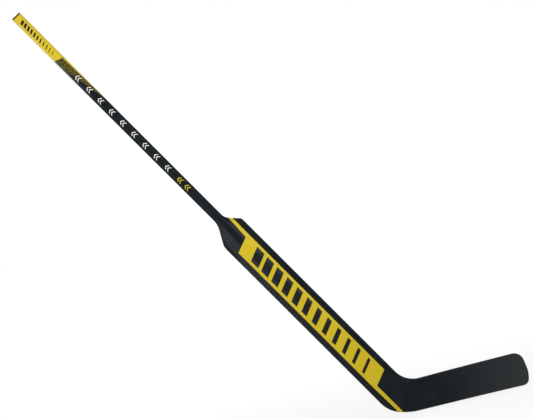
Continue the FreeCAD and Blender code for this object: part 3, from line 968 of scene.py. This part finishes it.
# The same bars, small, on the yellow of the shaft
SMALL_BAR_COUNT = 11
SMALL_BAR_HALF = 6.2
SMALL_BAR_MIDDLES = np.linspace(1469, 1353, SMALL_BAR_COUNT)
SMALL_BAR_WIDTHS = np.linspace(8, 2, SMALL_BAR_COUNT)
small = bar_row(SMALL_BAR_MIDDLES, SMALL_BAR_HALF, SMALL_BAR_WIDTHS)
slabs("shaft_top_bars", [shaft_patch(bar, INK_LIFTS) for bar in small], ink)

# A field of small yellow dots below the film, in staggered rows, which ends on a slant
DOT_RADIUS = 0.6
DOT_FIELD = (-11.0, 16.0)
DOT_FIELD_LENGTH = 150.0
DOT_STEP = 3.0
DOT_ROW_STEP = 2.6
DOT_GAP = 2.5
DOT_END = 1247.0
DOT_END_SLANT = 5.6
around, down = np.meshgrid(np.arange(*DOT_FIELD, DOT_STEP), np.arange(0, DOT_FIELD_LENGTH, DOT_ROW_STEP))
around[1::2] += DOT_STEP / 2
dot_along = wrap_low - WRAP_SLANT * around - DOT_GAP - down
kept = dot_along > DOT_END - DOT_END_SLANT * around
dot_middles = np.stack([around, dot_along], -1)[kept]
dots("shaft_fade_dots", dot_middles, DOT_RADIUS, FILM_LIFTS, yellow)

# A tongue of yellow on the toe's side, which widens evenly between its stops
TONGUE_STOPS = (1120.0, 1179.0, 1323.0)
TONGUE_HALVES = (0.3, 5.5, 11.4)
TONGUE_ROWS = 60
TONGUE_COLUMNS = 24
tongue_rows = np.linspace(TONGUE_STOPS[0], TONGUE_STOPS[-1], TONGUE_ROWS)[:, None]
tongue_half = np.interp(tongue_rows, TONGUE_STOPS, TONGUE_HALVES)
tongue_around = GIRTH / 4 + tongue_half * np.linspace(1, -1, TONGUE_COLUMNS)
tongue = np.stack([tongue_around, np.broadcast_to(tongue_rows, tongue_around.shape)], -1)
tongue_film = tuple(shaft_film(tongue, lift) for lift in FILM_LIFTS)
slabs("shaft_edge_tongue", [tongue_film], yellow)

# Double chevrons down the shaft, white and then yellow
CHEVRON_HALF = 7.6
CHEVRON_STROKE = 3.0
CHEVRON_SLANT = 0.8
CHEVRON_STEP = 8.0
WHITE_MIDDLES = np.linspace(1255, 911, 9)
YELLOW_MIDDLES = (864, 836)


def chevron(middle):
    """Two bars that rise from the sides of the front face to a point in its middle."""
    rise = CHEVRON_SLANT * CHEVRON_HALF
    films = []
    for end in (-CHEVRON_HALF, CHEVRON_HALF):
        sides = [
            (end, middle - rise - CHEVRON_STROKE / 2),
            (0, middle - CHEVRON_STROKE / 2),
            (0, middle + CHEVRON_STROKE / 2),
            (end, middle - rise + CHEVRON_STROKE / 2),
        ]
        if end > 0:
            sides = [sides[1], sides[0], sides[3], sides[2]]
        films.append(shaft_patch(sides, FILM_LIFTS))
    return films


def chevrons(name, middles, material):
    """Pairs of chevrons, one a step above the other, at distances along the shaft."""
    films = [film for middle in middles for step in (0, CHEVRON_STEP) for film in chevron(middle + step)]
    slabs(name, films, material)


chevrons("shaft_white_chevrons", WHITE_MIDDLES, white)
chevrons("shaft_yellow_chevrons", YELLOW_MIDDLES, yellow)

# The pieces inside the shell, and the cap
for node, material in (
    ("butt_end_cap", rubber),
    ("paddle_spine", core),
    ("heel_block", core),
    ("blade_rib", core),
    ("heel_side_core", foam),
    ("toe_side_core", foam),
    ("blade_upper_core", foam),
    ("blade_lower_core", foam),
):
    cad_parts[node].material_slots[0].material = material

# Camera, in metres: straight on, turned about its own axis, with a long lens
CAMERA_AWAY = 6.0
CAMERA_AIM = (-0.2723, 0.0, 0.6290)
CAMERA_ROLL = math.radians(13.876)
LENS_PER_METRE = 24.85

lens = bpy.data.cameras.new("camera")
lens.sensor_width = 36
lens.sensor_fit = "HORIZONTAL"
lens.lens = LENS_PER_METRE * CAMERA_AWAY
camera = bpy.data.objects.new("camera", lens)
camera.location = (CAMERA_AIM[0], CAMERA_AIM[1] - CAMERA_AWAY, CAMERA_AIM[2])
camera.rotation_euler = (math.pi / 2, CAMERA_ROLL, 0)
bpy.context.scene.collection.objects.link(camera)
bpy.context.scene.camera = camera

# White floor, kept out of the reflections. The camera sees mostly a plain white, with the shadow in it.
FLOOR_HALF = 8.0
FLOOR_LEVEL = -0.0006
FLOOR_GREY = 0.9
FLOOR_NEAR = 0.5
FLOOR_FAR = 1.6
FLOOR_WHITE = 0.8
floor_mesh = bpy.data.meshes.new("floor")
floor_corners = [
    (x * FLOOR_HALF, y * FLOOR_HALF, FLOOR_LEVEL) for x, y in ((-1, -1), (1, -1), (1, 1), (-1, 1))
]
floor_mesh.from_pydata(floor_corners, [], [(0, 1, 2, 3)])
floor = bpy.data.objects.new("floor", floor_mesh)
bpy.context.scene.collection.objects.link(floor)
floor.visible_glossy = False


def seen_rays(tree):
    """1 for rays that come from the camera, a reflection or a clear body, else 0."""
    path = add_node(tree, "ShaderNodeLightPath").outputs
    both = math_node(tree, "MAXIMUM", path["Is Camera Ray"], path["Is Glossy Ray"])
    return math_node(tree, "MAXIMUM", both, path["Is Transmission Ray"])


def floor_material():
    """Matt white. For seen rays a plain white of strength 1 is mixed in, more so away from the object.

    The plain white's share runs evenly from its first value near the object to 1 at the far distance.
    """
    material = bpy.data.materials.new("white_floor")
    material.use_nodes = True
    tree = material.node_tree
    tree.nodes.remove(tree.nodes["Principled BSDF"])
    grey = (FLOOR_GREY, FLOOR_GREY, FLOOR_GREY, 1)
    matt = add_node(tree, "ShaderNodeBsdfDiffuse", {"Color": grey}).outputs["BSDF"]
    plain = add_node(tree, "ShaderNodeEmission", {"Color": (1, 1, 1, 1), "Strength": 1.0})
    plain = plain.outputs["Emission"]
    place = add_node(tree, "ShaderNodeTexCoord").outputs["Object"]
    away = add_node(tree, "ShaderNodeVectorMath", {0: place}, operation="LENGTH").outputs["Value"]
    white_share = spread(tree, away, FLOOR_NEAR, FLOOR_FAR, FLOOR_WHITE, 1.0)
    seen = math_node(tree, "MULTIPLY", seen_rays(tree), white_share)
    mixed = add_node(tree, "ShaderNodeMixShader", {0: seen, 1: matt, 2: plain}).outputs["Shader"]
    tree.links.new(mixed, tree.nodes["Material Output"].inputs["Surface"])
    return material


floor_mesh.materials.append(floor_material())

# Surroundings: white to the camera. In reflections they are dark straight in front of and behind the
# stick, bright to both sides of that along the shaft, and dark again far out. The light that they give
# is even in front and rises towards straight behind, so that the back is lit as well as the front.
SURROUND_STOPS = (
    (0.0, 0.01),
    (0.045, 0.14),
    (0.10, 0.46),
    (0.156, 0.78),
    (0.22, 0.92),
    (0.30, 0.82),
    (0.42, 0.35),
    (0.60, 0.10),
)
EVEN_LIGHT = 0.55
BACK_LIGHT = 0.60
LEAST_SUM = 0.001


def surroundings():
    """World shader: 1 for camera and clear rays, stops for reflections, else even plus back light.

    The stops are levels over the share that a ray's across part has in its across and forward parts. The
    back light is multiplied by a ray's backward part, or by 0 where it goes forward.
    """
    world = bpy.data.worlds.new("studio")
    world.use_nodes = True
    tree = world.node_tree
    back = tree.nodes["Background"]
    ray = add_node(tree, "ShaderNodeTexCoord").outputs["Generated"]

    def part(direction):
        """How much of the ray goes along a direction, either way."""
        dot = add_node(tree, "ShaderNodeVectorMath", {0: ray, 1: direction}, operation="DOT_PRODUCT")
        return math_node(tree, "ABSOLUTE", dot.outputs["Value"], 0.0)

    sideways = part((ACROSS[0], 0, ACROSS[1]))
    both = math_node(tree, "ADD", sideways, part((0, 1, 0)))
    both = math_node(tree, "ADD", both, LEAST_SUM)
    stops = [(position, (level, level, level)) for position, level in SURROUND_STOPS]
    window = tone(tree, math_node(tree, "DIVIDE", sideways, both), stops)
    path = add_node(tree, "ShaderNodeLightPath").outputs
    clear = math_node(tree, "MAXIMUM", path["Is Camera Ray"], path["Is Transmission Ray"])
    mirrored = math_node(tree, "MULTIPLY", path["Is Glossy Ray"], window)
    seen = math_node(tree, "MAXIMUM", clear, mirrored)
    backward = add_node(tree, "ShaderNodeSeparateXYZ", {0: ray}).outputs["Y"]
    backward = math_node(tree, "MAXIMUM", backward, 0.0)
    given = math_node(tree, "ADD", math_node(tree, "MULTIPLY", backward, BACK_LIGHT), EVEN_LIGHT)
    unseen = math_node(tree, "SUBTRACT", 1.0, seen_rays(tree))
    even = math_node(tree, "MULTIPLY", unseen, given)
    back.inputs["Color"].default_value = (1, 1, 1, 1)
    tree.links.new(math_node(tree, "ADD", seen, even), back.inputs["Strength"])
    world.cycles.sampling_method = "NONE"
    bpy.context.scene.world = world


surroundings()


def softbox(name, place, aim, width, height, power):
    """A rectangular lamp at a place, turned to face its aim."""
    lamp = bpy.data.lights.new(name, "AREA")
    lamp.shape = "RECTANGLE"
    lamp.size = width
    lamp.size_y = height
    lamp.energy = power
    holder = bpy.data.objects.new(name, lamp)
    holder.location = place
    way = np.array(aim) - np.array(place)
    flat = math.hypot(way[0], way[1])
    holder.rotation_euler = (math.atan2(flat, -way[2]), 0, math.atan2(-way[0], way[1]))
    bpy.context.scene.collection.objects.link(holder)
    return holder


# One large lamp in front of the shaft, kept out of the reflections
KEY_AWAY = 1.6
KEY_OFF = 200.0
KEY_ALONG = 1300.0
KEY_SIZE = 1.0
KEY_POWER = 16.5
key_x, key_z = on_stick(KEY_OFF, KEY_ALONG) * MM
aim_x, aim_z = on_stick(0, KEY_ALONG) * MM
key_place = (key_x, -KEY_AWAY, key_z)
key_softbox = softbox("key_softbox", key_place, (aim_x, 0, aim_z), KEY_SIZE, KEY_SIZE, KEY_POWER)
key_softbox.visible_glossy = False

# A strip beside the top of the shaft, which its heel-side chamfers mirror
STRIP_AWAY = 1.0
STRIP_ALONG = 1500.0
STRIP_WIDTH = 0.30
STRIP_HEIGHT = 0.31
STRIP_POWER = 1.1
strip_x, strip_z = on_stick(-STRIP_AWAY / MM, STRIP_ALONG) * MM
top_x, top_z = on_stick(0, STRIP_ALONG) * MM
strip_place = (strip_x, 0, strip_z)
softbox("chamfer_strip", strip_place, (top_x, 0, top_z), STRIP_WIDTH, STRIP_HEIGHT, STRIP_POWER)

bpy.context.scene.view_settings.view_transform = "Standard"

bpy.context.view_layer.update()
